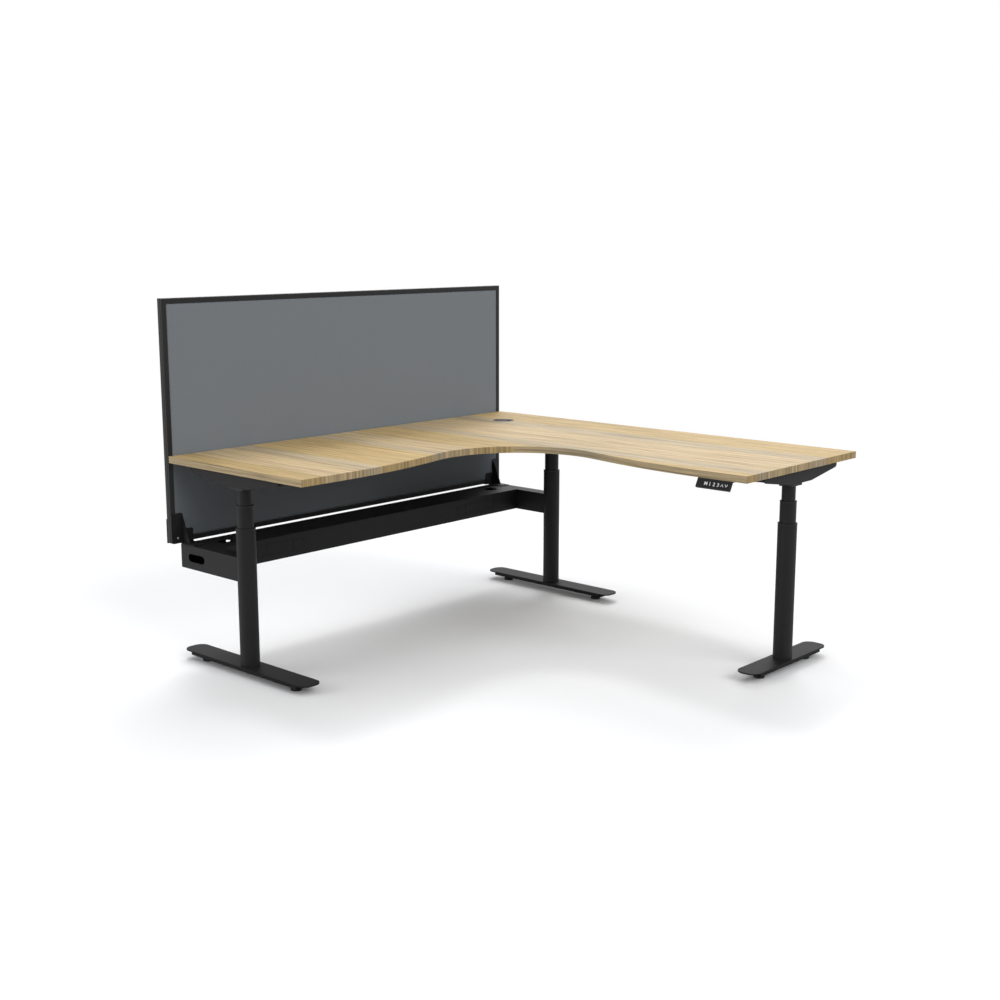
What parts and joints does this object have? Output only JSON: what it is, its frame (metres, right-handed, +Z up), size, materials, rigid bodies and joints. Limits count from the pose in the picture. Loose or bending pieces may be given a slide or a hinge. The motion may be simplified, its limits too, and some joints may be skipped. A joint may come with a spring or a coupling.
{
  "type": "corner workstation",
  "caption": "L-shaped height-adjustable desk with a concave inner edge on telescopic columns, a hollow cable spine behind it and a framed fabric screen standing on the spine.",
  "frame": {"origin": "on the floor under the middle of the bounding box, at the glides' undersides", "axes": "+X along the screen towards the return wing's outer edge, +Y back towards the screen, +Z up"},
  "size_m": [1.8, 1.834, 1.337],
  "materials": {
    "worktop": "satin",
    "powder_coat": "matte",
    "bright_steel": "satin",
    "frame_aluminium": "matte",
    "guide_plastic": "matte",
    "grommet_plastic": "satin",
    "housing_plastic": "satin",
    "key_rubber": "matte",
    "glide": "matte",
    "screen_core": "matte",
    "screen_fabric": "matte"
  },
  "bodies": {
    "base": {"foot_left": "powder_coat", "foot_back": "powder_coat", "foot_return": "powder_coat", "outer_tube_left": "powder_coat", "outer_tube_back": "powder_coat", "outer_tube_return": "powder_coat", "lower_guide_rings": "guide_plastic", "nut_tubes": "bright_steel", "spine_beam": "powder_coat", "spine_cover": "powder_coat", "spine_arm_left": "powder_coat", "spine_arm_right": "powder_coat", "screen_frame": "frame_aluminium", "screen_board": "screen_core", "screen_fabric_front": "screen_fabric", "screen_fabric_back": "screen_fabric", "screen_bracket_left": "powder_coat", "screen_bracket_right": "powder_coat"},
    "desk": {"worktop": "worktop", "grommet_liner": "grommet_plastic", "inner_tube_left": "powder_coat", "inner_tube_back": "powder_coat", "inner_tube_return": "powder_coat", "drive_unit_left": "powder_coat", "drive_unit_back": "powder_coat", "drive_unit_return": "powder_coat", "support_arm_left": "powder_coat", "support_arm_back": "powder_coat", "support_arm_return": "powder_coat", "cross_rails": "powder_coat", "control_box": "housing_plastic", "handset_body": "housing_plastic"},
    "cap": {"grommet_cap": "grommet_plastic"},
    "middle_stage_left": {"mid_tube_left": "powder_coat", "upper_guide_ring_left": "guide_plastic", "nut_carrier_left": "bright_steel"},
    "drive_spindle_left": {"spindle_left": "bright_steel"},
    "keyed_spindle_left": {"hollow_spindle_left": "bright_steel"},
    "middle_stage_back": {"mid_tube_back": "powder_coat", "upper_guide_ring_back": "guide_plastic", "nut_carrier_back": "bright_steel"},
    "drive_spindle_back": {"spindle_back": "bright_steel"},
    "keyed_spindle_back": {"hollow_spindle_back": "bright_steel"},
    "middle_stage_return": {"mid_tube_return": "powder_coat", "upper_guide_ring_return": "guide_plastic", "nut_carrier_return": "bright_steel"},
    "drive_spindle_return": {"spindle_return": "bright_steel"},
    "keyed_spindle_return": {"hollow_spindle_return": "bright_steel"},
    "key_memory_body": {"key_memory": "key_rubber"},
    "key_one_body": {"key_one": "key_rubber"},
    "key_two_body": {"key_two": "key_rubber"},
    "key_three_body": {"key_three": "key_rubber"},
    "key_up_body": {"key_up": "key_rubber"},
    "key_down_body": {"key_down": "key_rubber"},
    "levelling_left_front": {"glide_left_front": "glide"},
    "levelling_left_rear": {"glide_left_rear": "glide"},
    "levelling_back_front": {"glide_back_front": "glide"},
    "levelling_back_rear": {"glide_back_rear": "glide"},
    "levelling_return_inner": {"glide_return_inner": "glide"},
    "levelling_return_outer": {"glide_return_outer": "glide"}
  },
  "joints": [
    {"name": "desk_lift", "type": "slide", "parent": "base", "child": "desk", "axis": [0, 0, 1], "range_m": [-0.1, 0.5]},
    {"name": "middle_lift_left", "type": "slide", "parent": "base", "child": "middle_stage_left", "axis": [0, 0, 1], "range_m": [-0.0501, 0.2501]},
    {"name": "spindle_spin_left", "type": "hinge", "parent": "desk", "child": "drive_spindle_left", "pos_m": [-0.84, 0.519, 0.7], "axis": [0, 0, 1], "range_deg": [-2251, 11251]},
    {"name": "hollow_spin_left", "type": "hinge", "parent": "middle_stage_left", "child": "keyed_spindle_left", "pos_m": [-0.84, 0.519, 0.51], "axis": [0, 0, 1], "range_deg": [-2251, 11251]},
    {"name": "middle_lift_back", "type": "slide", "parent": "base", "child": "middle_stage_back", "axis": [0, 0, 1], "range_m": [-0.0501, 0.2501]},
    {"name": "spindle_spin_back", "type": "hinge", "parent": "desk", "child": "drive_spindle_back", "pos_m": [0.84, 0.519, 0.7], "axis": [0, 0, 1], "range_deg": [-2251, 11251]},
    {"name": "hollow_spin_back", "type": "hinge", "parent": "middle_stage_back", "child": "keyed_spindle_back", "pos_m": [0.84, 0.519, 0.51], "axis": [0, 0, 1], "range_deg": [-2251, 11251]},
    {"name": "middle_lift_return", "type": "slide", "parent": "base", "child": "middle_stage_return", "axis": [0, 0, 1], "range_m": [-0.0501, 0.2501]},
    {"name": "spindle_spin_return", "type": "hinge", "parent": "desk", "child": "drive_spindle_return", "pos_m": [0.526, -0.857, 0.7], "axis": [0, 0, 1], "range_deg": [-2251, 11251]},
    {"name": "hollow_spin_return", "type": "hinge", "parent": "middle_stage_return", "child": "keyed_spindle_return", "pos_m": [0.526, -0.857, 0.51], "axis": [0, 0, 1], "range_deg": [-2251, 11251]},
    {"name": "cap_turn", "type": "hinge", "parent": "desk", "child": "cap", "pos_m": [0.675, 0.658, 0.765], "axis": [0, 0, 1], "continuous": true},
    {"name": "press_memory", "type": "slide", "parent": "desk", "child": "key_memory_body", "axis": [0.8829, 0, -0.4695], "range_m": [0, 0.0006], "stiffness_N_per_m": 1500, "springref_m": -0.0008},
    {"name": "press_one", "type": "slide", "parent": "desk", "child": "key_one_body", "axis": [0.8829, 0, -0.4695], "range_m": [0, 0.0006], "stiffness_N_per_m": 1500, "springref_m": -0.0008},
    {"name": "press_two", "type": "slide", "parent": "desk", "child": "key_two_body", "axis": [0.8829, 0, -0.4695], "range_m": [0, 0.0006], "stiffness_N_per_m": 1500, "springref_m": -0.0008},
    {"name": "press_three", "type": "slide", "parent": "desk", "child": "key_three_body", "axis": [0.8829, 0, -0.4695], "range_m": [0, 0.0006], "stiffness_N_per_m": 1500, "springref_m": -0.0008},
    {"name": "press_up", "type": "slide", "parent": "desk", "child": "key_up_body", "axis": [0.8829, 0, -0.4695], "range_m": [0, 0.0006], "stiffness_N_per_m": 1500, "springref_m": -0.0008},
    {"name": "press_down", "type": "slide", "parent": "desk", "child": "key_down_body", "axis": [0.8829, 0, -0.4695], "range_m": [0, 0.0006], "stiffness_N_per_m": 1500, "springref_m": -0.0008},
    {"name": "level_left_front", "type": "slide", "parent": "base", "child": "levelling_left_front", "axis": [0, 0, 1], "range_m": [-0.01, 0.0015]},
    {"name": "level_left_rear", "type": "slide", "parent": "base", "child": "levelling_left_rear", "axis": [0, 0, 1], "range_m": [-0.01, 0.0015]},
    {"name": "level_back_front", "type": "slide", "parent": "base", "child": "levelling_back_front", "axis": [0, 0, 1], "range_m": [-0.01, 0.0015]},
    {"name": "level_back_rear", "type": "slide", "parent": "base", "child": "levelling_back_rear", "axis": [0, 0, 1], "range_m": [-0.01, 0.0015]},
    {"name": "level_return_inner", "type": "slide", "parent": "base", "child": "levelling_return_inner", "axis": [0, 0, 1], "range_m": [-0.01, 0.0015]},
    {"name": "level_return_outer", "type": "slide", "parent": "base", "child": "levelling_return_outer", "axis": [0, 0, 1], "range_m": [-0.01, 0.0015]}
  ],
  "couplings": [
    {"joint": "middle_lift_left", "follows": "desk_lift", "ratio": 0.5},
    {"joint": "spindle_spin_left", "follows": "desk_lift", "rad_per_m": 392.7},
    {"joint": "hollow_spin_left", "follows": "desk_lift", "rad_per_m": 392.7},
    {"joint": "middle_lift_back", "follows": "desk_lift", "ratio": 0.5},
    {"joint": "spindle_spin_back", "follows": "desk_lift", "rad_per_m": 392.7},
    {"joint": "hollow_spin_back", "follows": "desk_lift", "rad_per_m": 392.7},
    {"joint": "middle_lift_return", "follows": "desk_lift", "ratio": 0.5},
    {"joint": "spindle_spin_return", "follows": "desk_lift", "rad_per_m": 392.7},
    {"joint": "hollow_spin_return", "follows": "desk_lift", "rad_per_m": 392.7}
  ]
}
